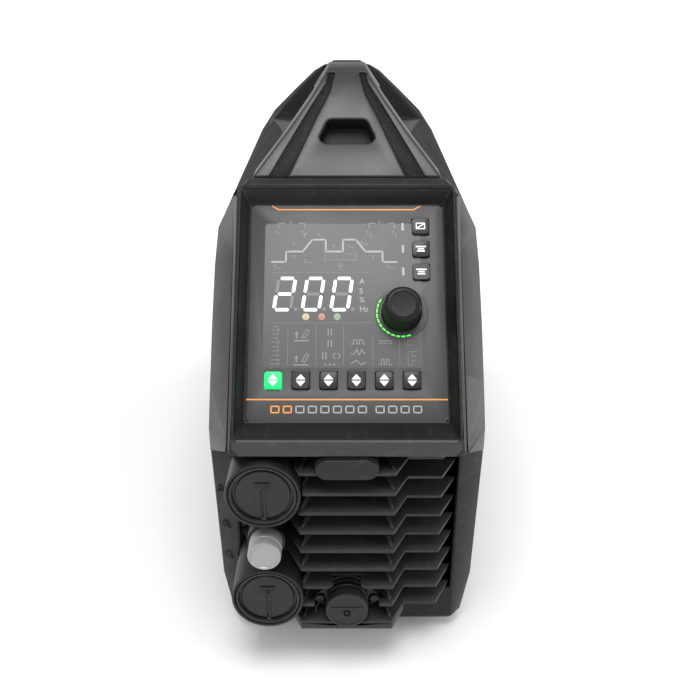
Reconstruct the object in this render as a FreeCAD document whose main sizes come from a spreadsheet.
"""A 200-ampere TIG welding inverter, as a parametric assembly of its separate pieces.

Frame: X to the machine's right as seen from the front, Y towards the rear, Z up, in millimetres.
The origin is on the floor under the middle of the machine.  The control panel, its keys and its
knob are drawn flat and then stood up on the leaning front, on one shared placement.
"""
import FreeCAD
import Part
import math
import os
import Sketcher
from FreeCAD import Placement, Rotation, Vector

DOC = FreeCAD.newDocument("tig_welder")

# ---------------------------------------------------------------- driving dimensions
SIZES = {
    # outer body
    "body_half": 100.0, "shoulder_height": 299.5, "waist_height": 163.3, "knee_height": 51.0,
    "knee_half": 97.4, "sill_half": 91.3, "sill_height": 13.0, "foot_height": 8.5,
    "break_half": 80.0, "break_height": 323.0, "rear_face": 263.0, "wall": 3.0, "seam": 0.3,
    "rear_depth": 58.0, "steel": 1.5,
    # front hood and its leaning rim
    "lean": 39.2, "hood_half": 81.0, "rim_half": 75.5, "rim_depth": 15.0, "rim_below": 14.9,
    "rim_above": 7.65, "chin_reach": 272.0, "chin_height": 190.7,
    # control panel
    "panel_reach": 246.6, "panel_height": 202.8, "panel_half": 70.0, "panel_length": 159.3,
    "panel_thick": 3.0, "panel_corner": 5.0, "key_size": 12.2, "key_gap": 0.35, "key_proud": 2.2,
    "key_pitch": 19.27, "key_row": 29.0, "key_first": -51.3, "side_key_place": 53.0,
    "side_key_row": 108.0, "side_key_pitch": 17.2, "key_flange": 1.6,
    "knob_place": 38.4, "knob_row": 77.8, "knob_base_radius": 14.4, "knob_top_radius": 12.7,
    "knob_height": 23.0, "shaft_radius": 3.0, "ring_inner": 16.6, "ring_outer": 18.9,
    # handle
    "ridge_front": 417.0, "ridge_drop": 0.1224, "peak_place": -72.0, "leg_place": 180.0,
    # lower front and its air grille
    "front_reach": 229.3, "front_half": 83.0, "cheek_reach": 220.0, "front_back": 185.0,
    "blade_pitch": 16.25, "blade_lowest": 45.4, "blade_thick": 2.4, "blade_front": 271.7,
    "blade_side": 250.8, "blade_back": 207.0,
    # connectors
    "socket_place": -57.3, "socket_upper": 161.0, "socket_lower": 71.7, "collar_radius": 26.0,
    "collar_bore": 23.8, "socket_front": 275.3, "collar_back": 205.0, "cap_radius": 23.4,
    "plug_bore": 6.6, "gas_height": 116.4, "gas_front": 283.0, "gas_cap_radius": 11.75,
    "remote_height": 60.6, "remote_front": 275.0, "remote_cap_radius": 15.7,
    "remote_flange": 260.4, "remote_screw": 20.0,
    # rear
    "fan_height": 186.0, "fan_radius": 57.0, "fan_depth": 38.0, "fan_bore": 58.5,
    "inlet_height": 62.0, "inlet_place": -55.0, "gland_place": 55.0, "rear_stub": 20.0,
    "switch_place": 0.0, "switch_height": 84.0,
}

SHEET = DOC.addObject("Spreadsheet::Sheet", "Sizes")
for row, (alias, number) in enumerate(SIZES.items(), start=1):
    SHEET.set(f"A{row}", alias)
    SHEET.set(f"B{row}", str(number))
    SHEET.setAlias(f"B{row}", alias)
DOC.recompute()


def size(alias):
    """Read one driving dimension from the sheet."""
    return float(SHEET.get(alias))


NODES = {}


def node(obj, name):
    """Register a finished document object as a separate piece of the machine."""
    obj.Label = name
    NODES[name] = obj
    return obj


# ---------------------------------------------------------------- document helpers
def bind(obj, **expressions):
    """Bind properties of an object to expressions on the sheet."""
    for prop, text in expressions.items():
        obj.setExpression(prop, text)
    return obj


def at(x=0.0, y=0.0, z=0.0, rotation=None):
    """A placement at a point, turned when a rotation is given."""
    return Placement(Vector(x, y, z), rotation or Rotation())


TO_FRONT = Rotation(Vector(1, 0, 0), 90)    # local +Z points to the front, -Y
TO_REAR = Rotation(Vector(1, 0, 0), -90)    # local +Z points to the rear, +Y


def cylinder(name, radius, height, place):
    """A cylinder whose radius and height are sheet expressions."""
    obj = DOC.addObject("Part::Cylinder", name)
    bind(obj, Radius=radius, Height=height)
    obj.Placement = place
    return obj


def cone(name, radius_one, radius_two, height, place):
    """A truncated cone whose sizes are sheet expressions."""
    obj = DOC.addObject("Part::Cone", name)
    bind(obj, Radius1=radius_one, Radius2=radius_two, Height=height)
    obj.Placement = place
    return obj


def box(name, length, width, height, place):
    """A box whose sizes are sheet expressions."""
    obj = DOC.addObject("Part::Box", name)
    bind(obj, Length=length, Width=width, Height=height)
    obj.Placement = place
    return obj


def torus(name, radius, thickness, place):
    """A ring of round section."""
    obj = DOC.addObject("Part::Torus", name)
    bind(obj, Radius1=radius, Radius2=thickness)
    obj.Placement = place
    return obj


def fuse(name, parts):
    """Join several objects into one."""
    obj = DOC.addObject("Part::MultiFuse", name)
    obj.Shapes = parts
    return obj


def cut(name, base, tools):
    """Cut one or more tools from a base object."""
    tool = tools[0] if len(tools) == 1 else fuse(name + "_tools", tools)
    obj = DOC.addObject("Part::Cut", name)
    obj.Base = base
    obj.Tool = tool
    return obj


def feature(name, shape, place=None):
    """A free-form piece; its placement is set after its shape."""
    obj = DOC.addObject("Part::Feature", name)
    obj.Shape = shape
    if place is not None:
        obj.Placement = place
    return obj


def new_body(name, place=None):
    """A PartDesign body, placed in the machine's frame."""
    body = DOC.addObject("PartDesign::Body", name)
    if place is not None:
        body.Placement = place
    return body


def origin_plane(body, role):
    """One of a body's own origin planes, by its role."""
    return next(item for item in body.Origin.OriginFeatures if item.Role == role)


def sketch(body, name, loops=(), circles=(), role="XY_Plane"):
    """Draw closed polygons and circles whose coordinates are sheet expressions."""
    sk = body.newObject("Sketcher::SketchObject", name)
    sk.AttachmentSupport = (origin_plane(body, role), [""])
    sk.MapMode = "FlatFace"
    for loop in loops:
        first = sk.GeometryCount
        count = len(loop)
        spots = [Vector(math.cos(2 * math.pi * i / count), math.sin(2 * math.pi * i / count), 0) * 20
                 for i in range(count)]
        for i in range(count):
            sk.addGeometry(Part.LineSegment(spots[i], spots[(i + 1) % count]), False)
        for i in range(count):
            after = first + (i + 1) % count
            sk.addConstraint(Sketcher.Constraint("Coincident", first + i, 2, after, 1))
        for i, (across, along) in enumerate(loop):
            for kind, text in (("DistanceX", across), ("DistanceY", along)):
                start = spots[i].x if kind == "DistanceX" else spots[i].y
                index = sk.addConstraint(Sketcher.Constraint(kind, -1, 1, first + i, 1, start))
                sk.setExpression(f"Constraints[{index}]", text)
    for across, along, radius in circles:
        index = sk.addGeometry(Part.Circle(Vector(1, 1, 0), Vector(0, 0, 1), 1.5), False)
        for kind, text in (("DistanceX", across), ("DistanceY", along)):
            number = sk.addConstraint(Sketcher.Constraint(kind, -1, 1, index, 3, 1.0))
            sk.setExpression(f"Constraints[{number}]", text)
        number = sk.addConstraint(Sketcher.Constraint("Radius", index, 1.5))
        sk.setExpression(f"Constraints[{number}]", radius)
    return sk


def rectangle(x_mid, y_mid, width, height):
    """The corners of a rectangle, as sheet expressions."""
    return [(f"{x_mid} {a} ({width}) / 2", f"{y_mid} {b} ({height}) / 2")
            for a, b in (("-", "-"), ("+", "-"), ("+", "+"), ("-", "+"))]


def pad(body, name, profile, length, backwards=False):
    """Pad a sketch by a sheet expression."""
    obj = body.newObject("PartDesign::Pad", name)
    obj.Profile = profile
    obj.setExpression("Length", length)
    obj.Reversed = backwards
    return obj


def pocket(body, name, profile, length, backwards=False):
    """Pocket a sketch by a sheet expression."""
    obj = body.newObject("PartDesign::Pocket", name)
    obj.Profile = profile
    obj.setExpression("Length", length)
    obj.Reversed = backwards
    return obj


def fillet_upright(body, name, base, radius):
    """Round the edges of a pad that run along its own Z axis."""
    DOC.recompute()
    names = []
    for i, edge in enumerate(base.Shape.Edges, start=1):
        ends = [vertex.Point for vertex in edge.Vertexes]
        if len(ends) == 2 and (ends[1] - ends[0]).cross(Vector(0, 0, 1)).Length < 1e-6:
            names.append(f"Edge{i}")
    obj = body.newObject("PartDesign::Fillet", name)
    obj.Base = (base, names)
    obj.setExpression("Radius", radius)
    return obj


# ---------------------------------------------------------------- shape helpers
def outline_prism(points, axis, low, high):
    """A prism over a closed outline; axis is the direction it is extruded along."""
    if axis == "X":
        corners = [Vector(low, a, b) for a, b in points]
        way = Vector(high - low, 0, 0)
    elif axis == "Y":
        corners = [Vector(a, low, b) for a, b in points]
        way = Vector(0, high - low, 0)
    else:
        corners = [Vector(a, b, low) for a, b in points]
        way = Vector(0, 0, high - low)
    return Part.Face(Part.makePolygon(corners + corners[:1])).extrude(way)


def inset(points, distances):
    """Move every edge of a closed outline inwards by its own distance."""
    if not isinstance(distances, (list, tuple)):
        distances = [distances] * len(points)
    count = len(points)
    area = sum(points[i][0] * points[(i + 1) % count][1] - points[(i + 1) % count][0] * points[i][1]
               for i in range(count))
    turn = 1.0 if area > 0 else -1.0
    lines = []
    for i in range(count):
        (ax, ay), (bx, by) = points[i], points[(i + 1) % count]
        long = math.hypot(bx - ax, by - ay)
        nx, ny = -(by - ay) / long * turn, (bx - ax) / long * turn
        lines.append((nx, ny, nx * ax + ny * ay + distances[i]))
    moved = []
    for i in range(count):
        (px, py, pc), (qx, qy, qc) = lines[i - 1], lines[i]
        det = px * qy - py * qx
        if abs(det) < 1e-6:
            off = distances[i]
            moved.append((points[i][0] + qx * off, points[i][1] + qy * off))
        else:
            moved.append(((pc * qy - py * qc) / det, (px * qc - pc * qx) / det))
    return moved


def facets(ring_a, ring_b):
    """Flat faces between two matching rings of points; a twisted quad becomes two triangles."""
    found = []
    count = len(ring_a)
    for i in range(count):
        j = (i + 1) % count
        quad = [ring_a[i], ring_a[j], ring_b[j], ring_b[i]]
        flat = (quad[1] - quad[0]).cross(quad[3] - quad[0])
        if flat.Length > 1e-9 and abs(flat.normalize().dot(quad[2] - quad[0])) < 1e-6:
            pieces = [quad]
        else:
            pieces = [quad[:3], [quad[0], quad[2], quad[3]]]
        for piece in pieces:
            if (piece[1] - piece[0]).cross(piece[2] - piece[0]).Length > 1e-6:
                found.append(Part.Face(Part.makePolygon(piece + piece[:1])))
    return found


def skin(rings):
    """A solid with flat faces through a row of matching rings of points."""
    faces = [Part.Face(Part.makePolygon(ring + ring[:1])) for ring in (rings[0], rings[-1])]
    for ring_a, ring_b in zip(rings, rings[1:]):
        faces += facets(ring_a, ring_b)
    solid = Part.Solid(Part.Shell(faces))
    if solid.Volume < 0:
        solid.reverse()
    return solid


def loft_x(inner, outer, x_inner, x_outer):
    """A solid between two side outlines at two distances from the middle plane."""
    return skin([[Vector(x_inner, a, b) for a, b in inner], [Vector(x_outer, a, b) for a, b in outer]])


def mirrored(shape):
    """The same shape on the other side of the middle plane."""
    return shape.mirror(Vector(0, 0, 0), Vector(1, 0, 0))


def both_sides(shape):
    """A shape together with its mirror image."""
    return shape.fuse(mirrored(shape))


def biggest(shape):
    """The largest solid of a shape."""
    return max(shape.Solids, key=lambda solid: solid.Volume)


def halves(points):
    """A symmetric closed outline from the points of its right half."""
    return points + [(-a, b) for a, b in reversed(points)]


def prism_bar(x_low, x_high, y_low, y_high, z_low, z_high):
    """A plain block between two corners."""
    return Part.makeBox(x_high - x_low, y_high - y_low, z_high - z_low, Vector(x_low, y_low, z_low))


def front_rod(radius, length, x, y, z):
    """A rod that starts at a point and runs towards the front."""
    return Part.makeCylinder(radius, length, Vector(x, y, z), Vector(0, -1, 0))


PANEL = Placement(Vector(0, -size("panel_reach"), size("panel_height")),
                  Rotation(Vector(1, 0, 0), 90 - size("lean")))


def on_panel(x=0.0, along=0.0, proud=0.0):
    """A placement on the leaning panel: across, up along it, and out of it."""
    return PANEL.multiply(at(x, along, proud))


# ---------------------------------------------------------------- outer casing
RIM_FOOT = (-267.6, 200.8)
RIM_HEAD = (-151.1, 343.5)
HOOD_MIDDLE = [(-size("chin_reach"), size("chin_height")), RIM_FOOT, RIM_HEAD, (-144.0, 346.7),
               (-118.0, 323.0), (-67.7, 323.0), (-164.7, size("chin_height"))]
HOOD_CHEEK = [(-268.0, 190.7), (-262.0, 197.0), (-233.0, 231.9), (-204.2, 266.7), (-175.3, 301.6),
              (-146.4, 336.5), (-118.0, 323.0), (-67.7, 323.0), (-164.7, 190.7)]
HOOD_EDGE = [(-221.0, 163.3), (-220.5, 182.0), (-201.0, 211.0), (-174.0, 246.0), (-143.0, 280.0),
             (-115.0, 299.5), (-100.0, 299.5), (-85.0, 299.5), (-185.0, 163.3)]


def hood_block(wall=0.0, open_back=0.0):
    """The hood's outer block, or what is left inside a wall of the given thickness."""
    half = size("hood_half") - wall
    back = -open_back if open_back else wall
    middle = inset(HOOD_MIDDLE, [wall] * 5 + [back, wall])
    cheek = inset(HOOD_CHEEK, [wall] * 7 + [back, wall])
    edge = inset(HOOD_EDGE, [wall] * 7 + [back, wall])
    block = outline_prism(middle, "X", -half, half)
    return block.fuse(both_sides(loft_x(cheek, edge, half, size("body_half") - wall)))


def panel_frustum(half_front, half_back, low_front, high_front, low_back, high_back, out, deep):
    """A four-sided funnel on the panel, from its mouth down to its bottom."""
    mouth = [Vector(a, b, out) for a, b in ((-half_front, low_front), (half_front, low_front),
                                            (half_front, high_front), (-half_front, high_front))]
    floor = [Vector(a, b, deep) for a, b in ((-half_back, low_back), (half_back, low_back),
                                             (half_back, high_back), (-half_back, high_back))]
    shape = skin([mouth, floor])
    shape.Placement = PANEL
    return shape


def panel_block(half, low, high, deep, out):
    """A block standing square on the panel."""
    shape = Part.makeBox(2 * half, high - low, out - deep, Vector(-half, low, deep))
    shape.Placement = PANEL
    return shape


def make_front_hood():
    """Hood around the control panel: rim, leaning cheeks, chin and the tray behind the panel."""
    wall = size("wall")
    outer = hood_block()
    shell = outer.cut(hood_block(wall, open_back=8.0))
    half, length, depth = size("panel_half"), size("panel_length"), size("rim_depth")
    below, above, rim = size("rim_below"), size("rim_above"), size("rim_half")
    tray = panel_frustum(rim + wall, half + wall + 0.6, -below - wall, length + above + wall,
                         -wall - 0.4, length + wall + 0.4, depth, -6.0).common(outer)
    shape = shell.fuse(tray)
    slope_x, slope_low, slope_high = (rim - half - 0.6) / depth, (below - 0.4) / depth, (above - 0.4) / depth
    over = 2.0
    shape = shape.cut(panel_frustum(rim + slope_x * over, half + 0.6, -below - slope_low * over,
                                    length + above + slope_high * over, -0.4, length + 0.4,
                                    depth + over, 0.0))
    shape = shape.cut(panel_block(half + 0.3, -0.3, length + 0.3, -size("panel_thick") - 0.05, 1.0))
    shape = shape.cut(panel_block(half - 5, 5, length - 5, -12, 1.0))
    # bevels beside the rim, on its upper corners and beside the chin
    bevel = [(77.9, 0.0), (77.9, 6.0), (82.0, 6.0), (81.02, -8.0)]
    face = Part.Face(Part.makePolygon([Vector(a, -40, depth + b) for a, b in bevel + bevel[:1]]))
    strip = face.extrude(Vector(0, 260, 0))
    strip.Placement = PANEL
    corner = outline_prism([(69.0, 348.0), (84.0, 348.0), (84.0, 331.5)], "Y", -260, -100)
    chin = outline_prism([(70.5, -273.0), (83.0, -273.0), (83.0, -268.2)], "Z", 170, 206)
    for tool in (strip, corner, chin):
        shape = shape.cut(both_sides(tool))
    return biggest(shape.removeSplitter())


def lower_front_block(wall=0.0, low_extra=0.0):
    """The lower front housing as a solid block, tapering towards its sill."""
    sections = []
    rows = [(size("chin_height"), size("front_half"), size("body_half"), 0.0),
            (size("waist_height"), size("front_half"), size("body_half"), 0.0),
            (size("knee_height"), size("front_half"), size("knee_half"), 0.0),
            (size("sill_height"), size("front_half"), size("sill_half"), 0.0),
            (size("foot_height") - low_extra, 80.0, 86.0, 4.0)]
    for height, front, side, back in rows:
        front, side = front - wall * 0.8, side - wall
        near, cheek = -size("front_reach") + wall + back, -size("cheek_reach") + wall * 0.6 + back
        far = -size("front_back") + (8.0 if wall else 0.0)
        spots = [(side, far), (side, cheek), (front, near), (-front, near), (-side, cheek), (-side, far)]
        sections.append([Vector(a, b, height) for a, b in spots])
    return skin(sections)


def hood_room():
    """The space the hood takes, with the seam around it."""
    return hood_block(-size("seam"))


def make_lower_front():
    """Lower front housing: a frame for the air grille with angled cheeks at both sides."""
    shape = lower_front_block().cut(lower_front_block(size("wall"), low_extra=3.0))
    shape = shape.cut(prism_bar(-80.5, 80.5, -240, -200, 42.0, 200))
    for height in (size("socket_upper"), size("socket_lower")):
        shape = shape.cut(front_rod(26.4, 60, size("socket_place"), -190, height))
    return biggest(shape.cut(hood_room()).cut(hood_block()).removeSplitter())


def blade_outline(grow=0.0):
    """The stepped plan of one air-grille blade."""
    front, side, back = size("blade_front"), size("blade_side"), size("blade_back")
    return halves([(79.8, -back), (79.8, -226.0 - grow), (67.0, -side - grow), (43.0, -side - grow),
                   (33.0, -front - grow)])


def eye_block(near, far, grow=0.0):
    """A block with the eye-shaped outline of the remote-control connector's flange."""
    middle, screw = size("remote_height"), size("remote_screw")
    tip = [(screw + 2.2 + grow, 4.2 + grow * 0.7), (9.5, 13.8 + grow)]
    upper = tip + [(-a, b) for a, b in reversed(tip)]
    hull = upper + [(a, -b) for a, b in reversed(upper)]
    plate = outline_prism([(a, middle + b) for a, b in hull], "Y", near, far)
    barrel = Part.makeCylinder(16.6 + grow, far - near, Vector(0, far, middle), Vector(0, -1, 0))
    return plate.fuse(barrel).removeSplitter()


def make_air_grille():
    """Nine stepped blades on upright ribs, with room for the connectors."""
    low, pitch, thick = size("blade_lowest"), size("blade_pitch"), size("blade_thick")
    back, top = -size("blade_back"), size("chin_height") - 1.0
    blade = outline_prism(blade_outline(), "Z", 0, thick)
    shape = None
    for i in range(9):
        level = blade.copy()
        level.translate(Vector(0, 0, low + pitch * i))
        shape = level if shape is None else shape.fuse(level)
    for x in (-70.0, -40.0, -12.0, 12.0, 40.0, 70.0):
        shape = shape.fuse(prism_bar(x - 1.5, x + 1.5, back - 6, back, 43.0, top))
    rib = outline_prism([(31.2, -267.5), (32.8, -266.2), (22.4, -246.0), (20.6, -246.0)], "Z", low, top)
    for i in range(9):
        foot, head = low + pitch * i + thick, min(low + pitch * (i + 1) + 0.1, top)
        gusset = outline_prism([(-267.0, foot - 0.1), (-250.0, head), (-245.0, head), (-245.0, foot - 0.1)], "X", 0, 40)
        shape = shape.fuse(both_sides(rib.common(gusset)))
    sill = low - 5.5
    shape = shape.fuse(prism_bar(-33.5, 33.5, -271.2, -268.6, sill, low + 1))
    shape = shape.fuse(both_sides(outline_prism([(33.5, -271.2), (43.2, -250.8), (43.2, -248.0), (40.8, -248.0),
                                                 (31.0, -268.6)], "Z", sill, low + 1)))
    # room for the two current sockets, the gas outlet and the remote-control connector
    for height, radius in ((size("socket_upper"), 26.6), (size("socket_lower"), 26.6), (size("gas_height"), 14.35)):
        shape = shape.cut(Part.makeCylinder(radius, 90, Vector(size("socket_place"), -200, height), Vector(0, -1, 0)))
    for rail in (98.9, 131.2):
        shape = shape.fuse(prism_bar(-79.8, -36.0, back - 8, back, rail, rail + 2.7))
    outer_edge = prism_bar(-79.8, -76.8, -226.0, back, 98.9, 133.9)
    for level in (110.4, 126.65):
        outer_edge = outer_edge.fuse(prism_bar(-79.8, -72.6, -226.0, back, level, level + thick))
    shape = shape.fuse(outer_edge)
    seat = -size("remote_flange") + 2.3
    shape = shape.cut(eye_block(-300, seat + 7, 1.2))
    for lift in (2.5, 5.0):
        sight = eye_block(-300, seat, 1.2)
        sight.translate(Vector(0, 0, lift))
        shape = shape.cut(sight)
    shape = shape.fuse(eye_block(seat, seat + 7, 1.6))
    for x in (-size("remote_screw"), size("remote_screw")):
        shape = shape.cut(front_rod(1.7, 30, x, -245, size("remote_height")))
    for x in (-12.0, 12.0):
        shape = shape.fuse(prism_bar(x - 1.5, x + 1.5, seat + 6, back, 50, 62))
    shape = shape.cut(Part.makeCylinder(12.6, 60, Vector(0, -200, size("remote_height")), Vector(0, -1, 0)))
    badge = outline_prism([(-13.5, -275.0), (13.5, -275.0), (13.5, -268.0), (-13.5, -268.0)], "Z", 174.0, 190.0)
    for x in (-13.5, 13.5):
        badge = badge.fuse(Part.makeCylinder(8.0, 7, Vector(x, -268, 182.0), Vector(0, -1, 0)))
    seat_badge = badge.copy()
    seat_badge.translate(Vector(0, 3.7, 0))
    shape = shape.cut(badge).fuse(seat_badge).fuse(both_sides(prism_bar(10.5, 13.5, -265, back, 178, 184)))
    return biggest(shape.removeSplitter())


def make_badge():
    """Blank oval plate at the top of the air grille."""
    plate = prism_bar(-13.5, 13.5, -275.0, -271.5, 174.3, 189.7)
    for x in (-13.5, 13.5):
        plate = plate.fuse(Part.makeCylinder(7.7, 3.5, Vector(x, -271.5, 182.0), Vector(0, -1, 0)))
    return plate.removeSplitter()


# ---------------------------------------------------------------- handle and roof
ROOF_FRONT = [(100.0, 299.5), (80.0, 323.0), (44.0, 373.7), (19.0, 408.0), (15.5, 417.0), (12.0, 425.3)]
ROOF_REAR = [(100.0, 299.5), (84.0, 323.0), (60.0, 346.0), (37.0, 367.0), (26.0, 373.2), (14.5, 376.0)]
BAR_SECTION = [(11.0, 0.0), (14.4, -4.2), (16.0, -11.0), (13.6, -18.6), (10.5, -20.0)]
SPINE_SIDE = [(-144.0, 346.7), (-90.0, 400.7), (-81.5, 407.8), (-72.5, 413.2), (-63.0, 416.2), (-54.0, 414.8),
              (-40.0, 413.1), (-40.0, 394.0), (-60.0, 396.4), (-100.0, 366.0), (-120.0, 346.0), (-118.0, 323.3)]
SPINE_FRONT = [(68.5, 322.0), (68.5, 346.0), (44.1, 373.6), (27.2, 394.3), (17.4, 408.5), (11.6, 418.0)]


def roof_block(shrink=0.0):
    """The tent-shaped roof between its front and rear profiles."""
    front, rear, steps = -140.0, size("rear_face"), 8
    profiles = []
    for step in range(steps + 1):
        part = step / steps
        ring = halves([(a + (c - a) * part, b + (d - b) * part)
                       for (a, b), (c, d) in zip(ROOF_FRONT, ROOF_REAR)])
        if shrink:
            ring = inset(ring, [shrink] * (len(ring) - 1) + [-6.0])
        profiles.append([Vector(a, front + (rear - front) * part, b) for a, b in ring])
    return skin(profiles)


def spine_block(gap=0.0):
    """The handle's front leg: a flaring slab that bends over into the grip."""
    side = outline_prism(inset(SPINE_SIDE, -gap) if gap else SPINE_SIDE, "X", -80, 80)
    front = outline_prism(halves(SPINE_FRONT), "Y", -160, -30)
    return side.common(front)


def groove_outline():
    """One of the two long inlays beside the middle of the handle's front leg."""
    return [(44.2, 344.0), (58.0, 344.0), (48.4, 358.4), (27.0, 388.5), (14.8, 404.5), (14.3, 410.0),
            (9.0, 410.0), (13.4, 397.5), (23.2, 381.7)]


def groove_block(deep):
    """The inlay's groove, cut to a depth under the leg's front face."""
    tool = outline_prism(groove_outline(), "Y", -170, -60)
    core = outline_prism(inset(SPINE_SIDE, [deep] * 6 + [0] * 6), "X", -80, 80)
    return both_sides(tool.cut(core))


def strap_pocket():
    """Blind pocket in the handle's front leg, square to its sloping face."""
    face = [(-22.6, 28.3), (22.6, 28.3), (14.4, 49.2), (-14.4, 49.2)]
    tool = Part.Face(Part.makePolygon([Vector(a, b, 3) for a, b in face + face[:1]])).extrude(Vector(0, 0, -16.5))
    upright = [edge for edge in tool.Edges if abs(edge.tangentAt(edge.FirstParameter).z) > 0.99]
    tool = tool.makeFillet(5.6, upright)
    tool.Placement = Placement(Vector(0, -144.0, 346.7), Rotation(Vector(1, 0, 0), 45))
    return tool


def ridge(place):
    """Height of the handle's ridge at a distance along the machine."""
    return size("ridge_front") - size("ridge_drop") * (place - size("peak_place"))


def grip_bar(near, far):
    """The grip along the ridge, between two places."""
    rings = []
    for place in (near, 0.0, 90.0, far):
        top = ridge(place)
        rings.append([Vector(a, place, top + b) for a, b in halves(BAR_SECTION)])
    return skin(rings)


def make_handle_leg():
    """Front leg and grip of the handle, with its strap pocket and the grooves for the inlays."""
    shape = spine_block().cut(hood_room()).cut(groove_block(3.2)).cut(strap_pocket())
    shape = shape.fuse(grip_bar(-58.0, size("leg_place") - size("seam")))
    return biggest(shape.removeSplitter())


def make_inlays():
    """Two dark strips let into the handle's front leg."""
    inner = spine_block().cut(hood_room())
    strips = groove_block(3.2).cut(groove_block(0.9)).common(inner)
    return Part.makeCompound([solid for solid in strips.Solids if solid.Volume > 200])


def make_top_cover():
    """Roof shell with the rear leg of the handle and the hand opening under the grip."""
    wall, leg = size("wall"), size("leg_place")
    roof = roof_block()
    cavity = roof_block(wall)
    under = [(-160.0, 280.0), (-160.0, 345.0), (-108.0, 364.5), (leg + wall, 322.0), (leg + wall, 371.0),
             (size("rear_face") - wall, 361.0), (size("rear_face") - wall, 280.0)]
    roof = roof.cut(cavity.common(outline_prism(under, "X", -110, 110)))
    opening = [(-130.0, 372.6), (leg, 327.6), (leg, 440.0), (-130.0, 440.0)]
    roof = roof.cut(outline_prism(opening, "X", -120, 120))
    roof = roof.cut(hood_room()).cut(spine_block(size("seam")))
    roof = roof.cut(outline_prism([(-300, 190), (-300, 460), (-60, 460), (-60, 418), (-120, 358), (-140, 338)],
                                  "X", -120, 120))
    return biggest(roof.removeSplitter())


# ---------------------------------------------------------------- sides, rear and base
SIDE_OUTLINE = [(size("body_half"), size("shoulder_height") - 0.3), (size("body_half"), size("waist_height")),
                (size("knee_half"), size("knee_height")), (size("sill_half"), size("sill_height")),
                (87.5, size("foot_height") + 0.4)]


def side_strip(thick, low, high):
    """A bent side sheet between two places along the machine."""
    inner = [(a - thick, b) for a, b in reversed(SIDE_OUTLINE)]
    return outline_prism(SIDE_OUTLINE + inner, "Y", low, high)


def make_side_panel():
    """Right side panel: a bent steel sheet with two rows of slanted air slots."""
    rear_edge = size("rear_face") - size("rear_depth") - size("seam")
    sheet = side_strip(size("steel"), -225.0, rear_edge)
    sheet = sheet.cut(hood_room())
    sheet = sheet.cut(prism_bar(70, 110, -260, -size("front_back") + size("seam"), 0, 400))
    for row_height in (96.0, 226.0):
        for i in range(9):
            place = 40.0 + 15.0 * i
            slot = [(place, row_height - 22), (place + 4, row_height - 22), (place + 20, row_height + 22),
                    (place + 16, row_height + 22)]
            sheet = sheet.cut(outline_prism(slot, "X", 90, 110))
    for place, height in SIDE_SCREWS:
        sheet = sheet.cut(Part.makeCylinder(2.2, 30, Vector(85, place, height), Vector(1, 0, 0)))
    return biggest(sheet.removeSplitter())


SIDE_SCREWS = [(-160.0, 32.0), (-158.0, 128.0), (-60.0, 285.0), (60.0, 285.0), (190.0, 285.0), (192.0, 32.0),
               (20.0, 32.0)]


def side_face(height):
    """Half-width of the side face at a height."""
    rows = SIDE_OUTLINE
    for (wide_a, high_a), (wide_b, high_b) in zip(rows, rows[1:]):
        if high_b <= height <= high_a:
            return wide_b + (wide_a - wide_b) * (height - high_b) / (high_a - high_b)
    return rows[0][0]


def make_side_screws():
    """Button-head screws that hold the right side panel."""
    solids = []
    for place, height in SIDE_SCREWS:
        face = max(side_face(height - 4.0), side_face(height + 4.0)) + 0.05
        head = Part.makeCylinder(4.0, 1.4, Vector(face, place, height), Vector(1, 0, 0))
        head = head.makeFillet(1.0, [edge for edge in head.Edges if edge.BoundBox.XMin > face + 1.3])
        shank = Part.makeCylinder(2.0, 9.0, Vector(face - 9.0, place, height), Vector(1, 0, 0))
        drive = Part.makeCylinder(1.3, 3.0, Vector(face + 0.5, place, height), Vector(1, 0, 0))
        solids.append(head.fuse(shank).cut(drive).removeSplitter())
    return Part.makeCompound(solids)


def make_rear_housing():
    """Rear housing: a deep tray with openings for the fan, switch, cable gland and gas inlet."""
    wall, far = size("wall"), size("rear_face")
    near = far - size("rear_depth")
    outline = halves(list(reversed(SIDE_OUTLINE)))
    shape = outline_prism(outline, "Y", near, far)
    edges = [edge for edge in shape.Edges
             if edge.BoundBox.YMin > far - 0.1 and abs(edge.BoundBox.XMax) > 86 and edge.BoundBox.ZLength > 20]
    shape = shape.makeChamfer(4.5, edges) if edges else shape
    shape = shape.cut(outline_prism(inset(outline, wall), "Y", near - 1, far - wall))
    middle = size("fan_height")
    shape = shape.cut(Part.makeCylinder(size("fan_bore"), 20, Vector(0, far - 10, middle), Vector(0, 1, 0)))
    shape = shape.cut(Part.makeCylinder(8.3, 20, Vector(size("inlet_place"), far - 10, size("inlet_height")), Vector(0, 1, 0)))
    shape = shape.cut(Part.makeCylinder(11.3, 20, Vector(size("gland_place"), far - 10, size("inlet_height")), Vector(0, 1, 0)))
    shape = shape.cut(prism_bar(-11.2, 11.2, far - 10, far + 2, size("switch_height") - 14.2, size("switch_height") + 14.2))
    for x in (-52.5, 52.5):
        for z in (-52.5, 52.5):
            shape = shape.cut(Part.makeCylinder(2.2, 20, Vector(x, far - 10, middle + z), Vector(0, 1, 0)))
    return biggest(shape.removeSplitter())


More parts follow.
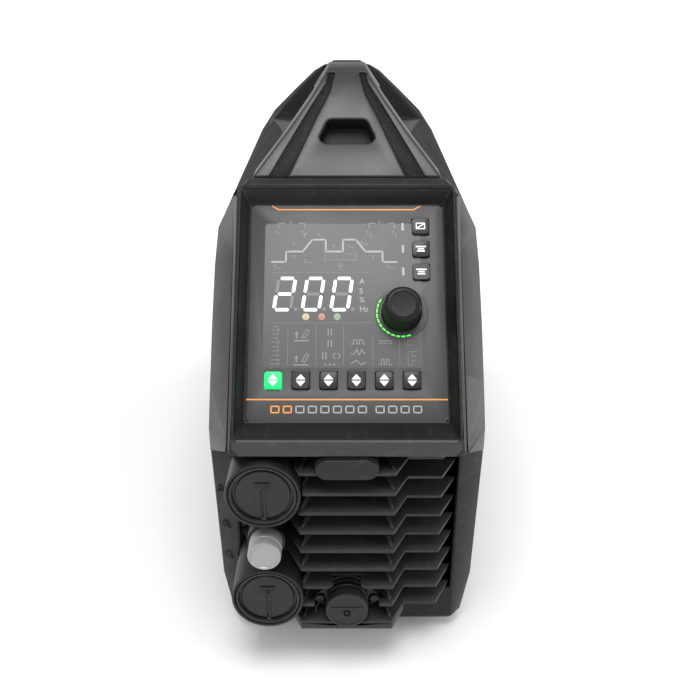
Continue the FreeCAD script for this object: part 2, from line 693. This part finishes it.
# ---------------------------------------------------------------- build: casing
node(feature("front_hood", make_front_hood()), "front_hood")
node(feature("lower_front", make_lower_front()), "lower_front_frame")
node(feature("air_grille", make_air_grille()), "air_grille")
node(feature("badge_plate", make_badge()), "badge_plate")
node(feature("handle_leg", make_handle_leg()), "handle_front_leg")
node(feature("handle_inlays", make_inlays()), "handle_inlays")
node(feature("top_cover", make_top_cover()), "top_cover")
side_shape = make_side_panel()
screw_shape = make_side_screws()
node(feature("side_right", side_shape), "side_panel_right")
node(feature("side_left", mirrored(side_shape)), "side_panel_left")
side_screws = feature("side_screws", Part.makeCompound(screw_shape.Solids + mirrored(screw_shape).Solids))
node(feature("rear_housing", make_rear_housing()), "rear_housing")


def make_base_tray():
    """Folded steel floor that carries the chassis."""
    body = new_body("base_tray_body", at(0, 0, size("foot_height")))
    outline = rectangle("0", "-6.8", "2 * 84", "422")
    base = pad(body, "tray_floor", sketch(body, "tray_outline", [outline]), "Sizes.steel")
    holes = [(str(x), str(y), "4") for x in (-70, 70) for y in (-185, 188)]
    pocket(body, "tray_holes", sketch(body, "tray_hole_spots", circles=holes), "10 * Sizes.steel", True)
    DOC.recompute()
    assert body.Shape.Volume < base.Shape.Volume - 100
    return body


node(make_base_tray(), "base_tray")

feet = []
for foot_x in (-70.0, 70.0):
    for foot_y in (-185.0, 188.0):
        pad_part = cone(f"foot_{len(feet)}", "11", "13", "Sizes.foot_height", at(foot_x, foot_y, 0))
        stud = cylinder(f"foot_stud_{len(feet)}", "3.8", "Sizes.foot_height + 4", at(foot_x, foot_y, 0))
        feet.append(fuse(f"foot_whole_{len(feet)}", [pad_part, stud]))
foot_group = DOC.addObject("Part::Compound", "feet")
foot_group.Links = feet
node(foot_group, "rubber_feet")

# ---------------------------------------------------------------- build: control panel
KEYS = [(size("key_first") + size("key_pitch") * i, size("key_row")) for i in range(6)]
KEYS += [(size("side_key_place"), size("side_key_row") + size("side_key_pitch") * i) for i in range(3)]


def key_spots():
    """Key centres as sheet expressions: six in the lower row, three at the right."""
    spots = [(f"Sizes.key_first + Sizes.key_pitch * {i}", "Sizes.key_row") for i in range(6)]
    return spots + [("Sizes.side_key_place", f"Sizes.side_key_row + Sizes.side_key_pitch * {i}") for i in range(3)]


def make_control_panel():
    """Flat control panel with square holes for the keys and a round one for the knob's shaft."""
    body = new_body("control_panel_body", PANEL)
    outline = rectangle("0", "Sizes.panel_length / 2", "2 * Sizes.panel_half", "Sizes.panel_length")
    plate = pad(body, "panel_plate", sketch(body, "panel_outline", [outline]), "Sizes.panel_thick", True)
    fillet_upright(body, "panel_corners", plate, "Sizes.panel_corner")
    opening = "Sizes.key_size + 2 * Sizes.key_gap"
    loops = [rectangle(x, y, opening, opening) for x, y in key_spots()]
    holes = sketch(body, "panel_holes", loops, [("Sizes.knob_place", "Sizes.knob_row", "Sizes.shaft_radius + 0.6")])
    DOC.recompute()
    before = body.Shape.Volume
    pocket(body, "panel_cuts", holes, "Sizes.panel_thick")
    DOC.recompute()
    assert body.Shape.Volume < before - 3000
    return body


node(make_control_panel(), "control_panel")


def make_key(index, x, along):
    """One push key: a square cap with a retaining flange behind the panel."""
    body = new_body(f"key_body_{index}", on_panel(x, along))
    cap = pad(body, f"key_cap_{index}",
              sketch(body, f"key_cap_outline_{index}", [rectangle("0", "0", "Sizes.key_size", "Sizes.key_size")]),
              "Sizes.key_proud")
    fillet_upright(body, f"key_round_{index}", cap, "2.4")
    DOC.recompute()
    pad(body, f"key_stem_{index}",
        sketch(body, f"key_stem_outline_{index}",
               [rectangle("0", "0", "Sizes.key_size - 1.2", "Sizes.key_size - 1.2")]),
        "Sizes.panel_thick + Sizes.key_flange", True)
    rim = sketch(body, f"key_rim_outline_{index}",
                 [rectangle("0", "0", "Sizes.key_size + 2.4", "Sizes.key_size + 2.4")])
    rim.setExpression(".AttachmentOffset.Base.z", "-(Sizes.panel_thick + 0.1)")
    pad(body, f"key_rim_{index}", rim, "Sizes.key_flange - 0.1", True)
    return body


for key_index, (key_x, key_along) in enumerate(KEYS, start=1):
    key_name = f"select_key_{key_index}" if key_index <= 6 else f"mode_key_{key_index - 6}"
    node(make_key(key_index, key_x, key_along), key_name)

knob_at = on_panel(size("knob_place"), size("knob_row"))


def make_knob():
    """Knurled control knob, slightly tapered, with a dished top."""
    body = new_body("knob_body", knob_at)
    profile = [("Sizes.shaft_radius + 0.05", "0.8"), ("Sizes.knob_base_radius", "0.8"),
               ("Sizes.knob_base_radius", "3.6"), ("Sizes.knob_base_radius - 0.9", "4.6"),
               ("Sizes.knob_top_radius", "Sizes.knob_height - 1.2"),
               ("Sizes.knob_top_radius - 1.2", "Sizes.knob_height"),
               ("9.0", "Sizes.knob_height"), ("8.6", "Sizes.knob_height - 0.7"), ("0", "Sizes.knob_height - 0.9"),
               ("0", "Sizes.knob_height - 5"), ("Sizes.shaft_radius + 0.05", "Sizes.knob_height - 5")]
    turned = body.newObject("PartDesign::Revolution", "knob_turned")
    turned.Profile = sketch(body, "knob_profile", [profile], role="XZ_Plane")
    turned.ReferenceAxis = (next(f for f in body.Origin.OriginFeatures if f.Role == "Z_Axis"), [""])
    turned.Angle = 360
    DOC.recompute()
    return body


node(make_knob(), "control_knob")

shaft = cylinder("encoder_shaft_part", "Sizes.shaft_radius", "Sizes.knob_height - 5.3 + 3.3",
                 knob_at.multiply(at(0, 0, -3.3)))
node(shaft, "encoder_shaft")
encoder = box("encoder_part", "13", "13", "5.9", knob_at.multiply(at(-6.5, -6.5, -9.2)))
node(encoder, "encoder_body")
ring_outer = cylinder("ring_outer_part", "Sizes.ring_outer", "0.9", knob_at)
ring_hole = cylinder("ring_hole_part", "Sizes.ring_inner", "3", knob_at.multiply(at(0, 0, -1)))
node(cut("light_ring_part", ring_outer, [ring_hole]), "light_ring")

board_at = on_panel(0, 0, -10.8)
boards = [box("panel_board_part", "126", "146", "1.6", board_at.multiply(at(-63, 6.5, 0)))]
switches = []
for key_index, (key_x, key_along) in enumerate(KEYS):
    switches.append(box(f"key_switch_{key_index}", "6", "6", "3.0", on_panel(key_x - 3, key_along - 3, -9.2)))
switch_group = DOC.addObject("Part::Compound", "key_switches")
switch_group.Links = switches
node(switch_group, "key_switches")
node(box("digit_block", "72", "30", "5.6", on_panel(-60.5, 80, -9.2)), "digit_display")


# ---------------------------------------------------------------- build: front connectors
def front_place(x, z, y):
    """A placement whose own Z axis points out of the front."""
    return at(x, y, z, TO_FRONT)


SOCKETS = {"upper": size("socket_upper"), "lower": size("socket_lower")}
insulators = []
for socket_name, socket_height in SOCKETS.items():
    spot_x = size("socket_place")
    base_y = -size("collar_back")
    tube = cylinder(f"collar_tube_{socket_name}", "Sizes.collar_radius", "Sizes.socket_front - Sizes.collar_back",
                    front_place(spot_x, socket_height, base_y))
    bore = cylinder(f"collar_bore_{socket_name}", "Sizes.collar_bore", "Sizes.socket_front",
                    front_place(spot_x, socket_height, base_y - 5))
    stud = cylinder(f"collar_hole_{socket_name}", "14.2", "20", front_place(spot_x, socket_height, base_y + 5))
    node(cut(f"collar_{socket_name}", tube, [bore, stud]), f"socket_collar_{socket_name}")

    jacket = cylinder(f"jacket_{socket_name}", "14", "56", front_place(spot_x, socket_height, base_y + 3))
    flange = cylinder(f"jacket_flange_{socket_name}", "20", "3", front_place(spot_x, socket_height, base_y - 5.2))
    brass_room = cylinder(f"jacket_bore_{socket_name}", "10.5", "80", front_place(spot_x, socket_height, base_y + 10))
    insulators.append(cut(f"jacket_cut_{socket_name}", fuse(f"jacket_whole_{socket_name}", [jacket, flange]),
                          [brass_room]))
    brass = cylinder(f"brass_{socket_name}", "10.4", "50", front_place(spot_x, socket_height, base_y + 3))
    tail = cylinder(f"brass_tail_{socket_name}", "5", "24", front_place(spot_x, socket_height, base_y + 26))
    hole = cylinder(f"brass_hole_{socket_name}", "Sizes.plug_bore", "60", front_place(spot_x, socket_height, base_y - 12))
    keyway = box(f"brass_key_{socket_name}", "4.4", "3", "40",
                 front_place(spot_x - 2.2, socket_height + 5.8, base_y - 12))
    node(cut(f"brass_cut_{socket_name}", fuse(f"brass_whole_{socket_name}", [brass, tail]), [hole, keyway]),
         f"socket_contact_{socket_name}")

    cap_y = -size("socket_front") + 9.0
    disc = cylinder(f"cap_disc_{socket_name}", "Sizes.cap_radius", "8.4", front_place(spot_x, socket_height, cap_y))
    dish = cylinder(f"cap_dish_{socket_name}", "21.2", "6", front_place(spot_x, socket_height, cap_y - 6.2))
    plate = cylinder(f"cap_plate_{socket_name}", "19.4", "6.6", front_place(spot_x, socket_height, cap_y - 0.4))
    skirt = cylinder(f"cap_skirt_{socket_name}", "16.8", "12", front_place(spot_x, socket_height, cap_y + 10))
    skirt_room = cylinder(f"cap_skirt_room_{socket_name}", "14.4", "9.6", front_place(spot_x, socket_height, cap_y + 11))
    stem = cut(f"cap_stem_{socket_name}", skirt, [skirt_room])
    blade = box(f"cap_blade_{socket_name}", "1.8", "20", "8.4", front_place(spot_x - 0.9, socket_height - 20, cap_y))
    post = box(f"cap_post_{socket_name}", "4.6", "8.5", "7.8", front_place(spot_x - 2.3, socket_height, cap_y))
    arch_out = cylinder(f"cap_arch_{socket_name}", "8.2", "8.2", front_place(spot_x, socket_height + 2.2, cap_y))
    arch_in = cylinder(f"cap_arch_in_{socket_name}", "6.3", "12", front_place(spot_x, socket_height + 2.2, cap_y + 2))
    arch_low = box(f"cap_arch_low_{socket_name}", "20", "12.2", "14",
                   front_place(spot_x - 10, socket_height - 5.8, cap_y + 2))
    arch = cut(f"cap_arch_cut_{socket_name}", arch_out, [arch_in, arch_low])
    cup = cut(f"cap_cup_{socket_name}", disc, [dish])
    node(fuse(f"cap_{socket_name}", [cup, plate, stem, blade, post, arch]), f"socket_cap_{socket_name}")

insulator_group = DOC.addObject("Part::Compound", "insulators")
insulator_group.Links = insulators
node(insulator_group, "socket_insulators")

gas_x, gas_z = size("socket_place"), size("gas_height")
gas_base = -size("collar_back")
gas_boss = cylinder("gas_boss", "13.4", "61", front_place(gas_x, gas_z, gas_base))
gas_boss_hole = cylinder("gas_boss_hole", "8.2", "90", front_place(gas_x, gas_z, gas_base + 10))
gas_boss_mouth = cylinder("gas_boss_mouth", "12.3", "30", front_place(gas_x, gas_z, gas_base - 50))
node(cut("gas_boss_cut", gas_boss, [gas_boss_hole, gas_boss_mouth]), "gas_outlet_boss")
gas_stem = cylinder("gas_stem", "8.1", "70", front_place(gas_x, gas_z, gas_base + 22))
gas_nose = cylinder("gas_nose", "6.5", "74", front_place(gas_x, gas_z, gas_base))
gas_bore = cylinder("gas_bore", "3", "140", front_place(gas_x, gas_z, gas_base + 30))
node(cut("gas_fitting_cut", fuse("gas_fitting_whole", [gas_stem, gas_nose]), [gas_bore]), "gas_outlet_fitting")
gas_cap_shell = cylinder("gas_cap_shell", "Sizes.gas_cap_radius", "27", front_place(gas_x, gas_z, -size("gas_front") + 27))
gas_cap_room = cylinder("gas_cap_room", "8.6", "25", front_place(gas_x, gas_z, -size("gas_front") + 27.5))
node(cut("gas_cap_cut", gas_cap_shell, [gas_cap_room]), "gas_outlet_cap")

remote_z = size("remote_height")
seat_y = -size("remote_flange") + 2.1
flange_shape = eye_block(-size("remote_flange"), seat_y)
shell = Part.makeCylinder(12.3, 30, Vector(0, seat_y + 18, remote_z), Vector(0, -1, 0))
flange_shape = flange_shape.fuse(shell)
flange_shape = flange_shape.cut(Part.makeCylinder(10.6, 40, Vector(0, -246, remote_z), Vector(0, -1, 0)))
for screw_x in (-size("remote_screw"), size("remote_screw")):
    flange_shape = flange_shape.cut(Part.makeCylinder(1.7, 9, Vector(screw_x, -256, remote_z), Vector(0, -1, 0)))
node(feature("remote_socket", biggest(flange_shape.removeSplitter())), "remote_socket")
pins = [cylinder("remote_insert", "10.4", "6", front_place(0, remote_z, -250))]
for pin_index in range(9):
    turn = 2 * math.pi * pin_index / 8
    reach = 0.0 if pin_index == 8 else 6.6
    pins.append(cylinder(f"remote_pin_{pin_index}", "0.8", "12",
                         front_place(reach * math.cos(turn), remote_z + reach * math.sin(turn), -251)))
node(fuse("remote_pins", pins), "remote_contacts")
flange_screws = []
for screw_x in (-size("remote_screw"), size("remote_screw")):
    head = cylinder(f"flange_head_{len(flange_screws)}", "2.9", "1.7",
                    front_place(screw_x, remote_z, -size("remote_flange")))
    shank = cylinder(f"flange_shank_{len(flange_screws)}", "1.5", "8",
                     front_place(screw_x, remote_z, -size("remote_flange") + 8))
    flange_screws.append(fuse(f"flange_screw_{len(flange_screws)}", [head, shank]))
flange_group = DOC.addObject("Part::Compound", "flange_screws")
flange_group.Links = flange_screws
node(flange_group, "remote_flange_screws")
remote_out = cylinder("remote_cap_out", "Sizes.remote_cap_radius", "13.4", front_place(0, remote_z, -261.6))
remote_room = cylinder("remote_cap_room", "12.7", "11.4", front_place(0, remote_z, -260.6))
node(cut("remote_cap_cut", remote_out, [remote_room]), "remote_cap")

plate_outline = prism_bar(-80.0, 78.0, -205.0, -201.5, 36.0, 188.0)
for hole_z, hole_r in ((SOCKETS["upper"], 14.2), (SOCKETS["lower"], 14.2), (gas_z, 8.3)):
    plate_outline = plate_outline.cut(Part.makeCylinder(hole_r, 20, Vector(size("socket_place"), -195, hole_z),
                                                        Vector(0, -1, 0)))
for column in range(6):
    for line in range(7):
        spot = Vector(-14.0 + 17.0 * column, -195, 44.0 + 20.5 * line)
        plate_outline = plate_outline.cut(Part.makeCylinder(6.6, 20, spot, Vector(0, -1, 0)))
node(feature("connector_plate", plate_outline.removeSplitter()), "connector_plate")

# ---------------------------------------------------------------- build: rear
rear = size("rear_face")
fan_z = size("fan_height")
fan_near = rear - size("wall") - 0.4 - size("fan_depth")
frame_block = box("fan_block", "120", "Sizes.fan_depth", "120", at(-60, fan_near, fan_z - 60))
frame_bore = cylinder("fan_hole", "Sizes.fan_bore", "60", at(0, fan_near - 10, fan_z, TO_REAR))
motor_seat = cylinder("fan_motor_seat", "19", "4", at(0, fan_near, fan_z, TO_REAR))
spindle = cylinder("fan_spindle", "2.4", "5.95", at(0, fan_near, fan_z, TO_REAR))
struts = [box(f"fan_strut_{i}", "118", "4", "3.6", at(-59, fan_near, fan_z - 1.8)) for i in range(1)]
struts.append(box("fan_strut_up", "3.6", "4", "118", at(-1.8, fan_near, fan_z - 59)))
frame_open = cut("fan_open", frame_block, [frame_bore])
node(fuse("fan_frame_whole", [frame_open, motor_seat, spindle] + struts), "fan_frame")


def make_fan_rotor():
    """Fan hub with seven pitched blades."""
    hub = Part.makeCylinder(20.0, 24.0, Vector(0, 0, 0), Vector(0, 0, 1))
    hub = hub.makeFillet(2.0, [edge for edge in hub.Edges if edge.BoundBox.ZMin > 23.9])
    shape = hub
    for i in range(7):
        root = Part.makePolygon([Vector(18, -1.2, 3), Vector(18, 1.2, 3), Vector(18, 13.2, 21), Vector(18, 10.8, 21),
                                 Vector(18, -1.2, 3)])
        tip = Part.makePolygon([Vector(56.4, -9, 5), Vector(56.4, -7, 5), Vector(56.4, 17, 19),
                                Vector(56.4, 15, 19), Vector(56.4, -9, 5)])
        blade = Part.makeLoft([root, tip], True, True)
        blade = blade.common(Part.makeCylinder(size("fan_radius"), 24))
        blade.rotate(Vector(0, 0, 0), Vector(0, 0, 1), 360.0 / 7 * i)
        shape = shape.fuse(blade)
    return shape.removeSplitter()


node(feature("fan_rotor", make_fan_rotor(), at(0, fan_near + 6.0, fan_z, TO_REAR)), "fan_rotor")

guard = []
for ring_index in range(6):
    reach = 11 + 9.4 * ring_index
    hoop = cylinder(f"guard_hoop_{ring_index}", f"{reach + 1.1}", "2.2", at(0, rear + 1.4, fan_z, TO_REAR))
    inside = cylinder(f"guard_inside_{ring_index}", f"{reach - 1.1}", "6", at(0, rear - 1, fan_z, TO_REAR))
    guard.append(cut(f"guard_ring_{ring_index}", hoop, [inside]))
for spoke_index in range(4):
    long = 143 if spoke_index % 2 else 116
    spin = Placement(Vector(0, rear, fan_z), Rotation(Vector(0, 1, 0), 45.0 * spoke_index))
    guard.append(box(f"guard_spoke_{spoke_index}", "2.2", "2", f"{long}",
                     spin.multiply(at(-1.1, 0.2, -long / 2))))
node(fuse("fan_guard_whole", guard), "fan_guard")
guard_screws = []
for screw_x in (-52.5, 52.5):
    for screw_z in (-52.5, 52.5):
        head = cylinder(f"guard_head_{len(guard_screws)}", "4", "2", at(screw_x, rear + 2.6, fan_z + screw_z, TO_REAR))
        shank = cylinder(f"guard_shank_{len(guard_screws)}", "1.9", "5.6", at(screw_x, rear - 3.0, fan_z + screw_z, TO_REAR))
        guard_screws.append(fuse(f"guard_screw_{len(guard_screws)}", [head, shank]))
screw_group = DOC.addObject("Part::Compound", "screws")
screw_group.Links = [side_screws] + guard_screws
node(screw_group, "case_screws")

gland_nut = DOC.addObject("Part::Prism", "gland_nut")
gland_nut.Polygon = 6
bind(gland_nut, Circumradius="16", Height="6")
gland_nut.Placement = at(size("gland_place"), rear, size("inlet_height"), TO_REAR)
gland_dome = cone("gland_dome", "13.5", "9.5", "Sizes.rear_stub - 6", at(size("gland_place"), rear + 6, size("inlet_height"), TO_REAR))
gland_thread = cylinder("gland_thread", "11", "14", at(size("gland_place"), rear - 14, size("inlet_height"), TO_REAR))
gland_hole = cylinder("gland_hole", "5.5", "60", at(size("gland_place"), rear - 20, size("inlet_height"), TO_REAR))
node(cut("gland_cut", fuse("gland_whole", [gland_nut, gland_dome, gland_thread]), [gland_hole]), "cable_gland")

inlet_hex = DOC.addObject("Part::Prism", "inlet_hex")
inlet_hex.Polygon = 6
bind(inlet_hex, Circumradius="10.5", Height="5")
inlet_hex.Placement = at(size("inlet_place"), rear, size("inlet_height"), TO_REAR)
inlet_nose = cylinder("inlet_nose", "6.4", "Sizes.rear_stub", at(size("inlet_place"), rear, size("inlet_height"), TO_REAR))
inlet_tail = cylinder("inlet_tail", "8", "22", at(size("inlet_place"), rear - 22, size("inlet_height"), TO_REAR))
inlet_bore = cylinder("inlet_bore", "3", "90", at(size("inlet_place"), rear - 30, size("inlet_height"), TO_REAR))
node(cut("inlet_cut", fuse("inlet_whole", [inlet_hex, inlet_nose, inlet_tail]), [inlet_bore]), "gas_inlet_fitting")

switch_z = size("switch_height")
switch_plate = box("switch_plate", "26", "2", "32", at(-13, rear, switch_z - 16))
switch_box = box("switch_box", "22", "24", "28", at(-11, rear - 24, switch_z - 14))
switch_room = box("switch_room", "18.6", "20", "24.6", at(-9.3, rear - 9, switch_z - 12.3))
node(cut("switch_cut", fuse("switch_whole", [switch_plate, switch_box]), [switch_room]), "power_switch_frame")
rocker = outline_prism([(-5.0, -3.0), (0.6, -10.4), (3.6, -10.6), (2.6, -4.0), (2.6, 4.0), (3.6, 10.6),
                        (0.6, 10.4), (-5.0, 3.0)], "X", -8.8, 8.8)
rocker.rotate(Vector(0, 0, 0), Vector(1, 0, 0), -9.0)
node(feature("power_rocker", rocker, at(0, rear - 0.6, switch_z)), "power_rocker")
node(feature("rating_plate", prism_bar(-26, 26, rear, rear + 0.8, 36.0, 56.0)), "rating_plate")

# ---------------------------------------------------------------- build: inside
boards.append(box("power_board_part", "1.6", "300", "170", at(-70, -130, 60)))
core = box("sink_core", "9", "230", "110", at(8, -100, 150))
fins = [box(f"sink_fin_{i}", "44", "230", "2.4", at(16, -100, 150 + 11.9 * i)) for i in range(10)]
node(fuse("heat_sink_whole", [core] + fins), "heat_sink")
coil = box("coil_block", "56", "66", "50", at(6, 30, 34))
core_low = box("core_low", "84", "40", "14", at(-8, 43, 20))
core_high = box("core_high", "84", "40", "14", at(-8, 43, 84))
core_mid = [box(f"core_leg_{i}", "12", "40", "50", at(-8 + 72 * i, 43, 34)) for i in range(2)]
core_block = fuse("core_whole", [core_low, core_high] + core_mid)
node(core_block, "transformer_core")
node(cut("coil_cut", coil, [box("coil_core", "20", "40", "60", at(24, 43, 30))]), "transformer_coil")
choke = torus("choke_ring", "24", "11", at(34, -60, 34))
node(choke, "smoothing_choke")
cans = [cylinder(f"can_{i}", "17", "52", at(-32, -80 + 42 * i, 60, Rotation())) for i in range(4)]
can_group = DOC.addObject("Part::Compound", "capacitors")
can_group.Links = cans
node(can_group, "storage_capacitors")
boards.append(box("can_board", "44", "172", "1.6", at(-54, -103, 58.2)))
board_group = DOC.addObject("Part::Compound", "boards")
board_group.Links = boards
node(board_group, "circuit_boards")
valve = box("valve_block", "24", "34", "24", at(-68, 196, 50))
valve_coil = cylinder("valve_coil", "11", "26", at(-56, 213, 74))
node(fuse("gas_valve_whole", [valve, valve_coil]), "gas_valve")
node(box("divider", "1.5", "360", "130", at(78, -160, 12)), "chassis_divider")

# ---------------------------------------------------------------- check and write
DOC.recompute()
for obj in DOC.Objects:
    bad = [word for word in obj.State if word in ("Invalid", "Error")]
    if bad:
        raise RuntimeError(f"{obj.Label}: {bad}")
os.makedirs("parts", exist_ok=True)
for name, obj in NODES.items():
    shape = obj.Shape
    if shape.isNull() or not shape.isValid() or not shape.Solids:
        raise RuntimeError(f"{name}: shape is not a valid solid")
    shape.exportStep(f"parts/{name}.step")
    bounds = shape.BoundBox
    print(f"{name:26s} solids {len(shape.Solids):2d} volume {shape.Volume:11.0f}  "
          f"x {bounds.XMin:7.1f} {bounds.XMax:7.1f}  y {bounds.YMin:7.1f} {bounds.YMax:7.1f}  "
          f"z {bounds.ZMin:6.1f} {bounds.ZMax:6.1f}")
print(len(NODES), "nodes")
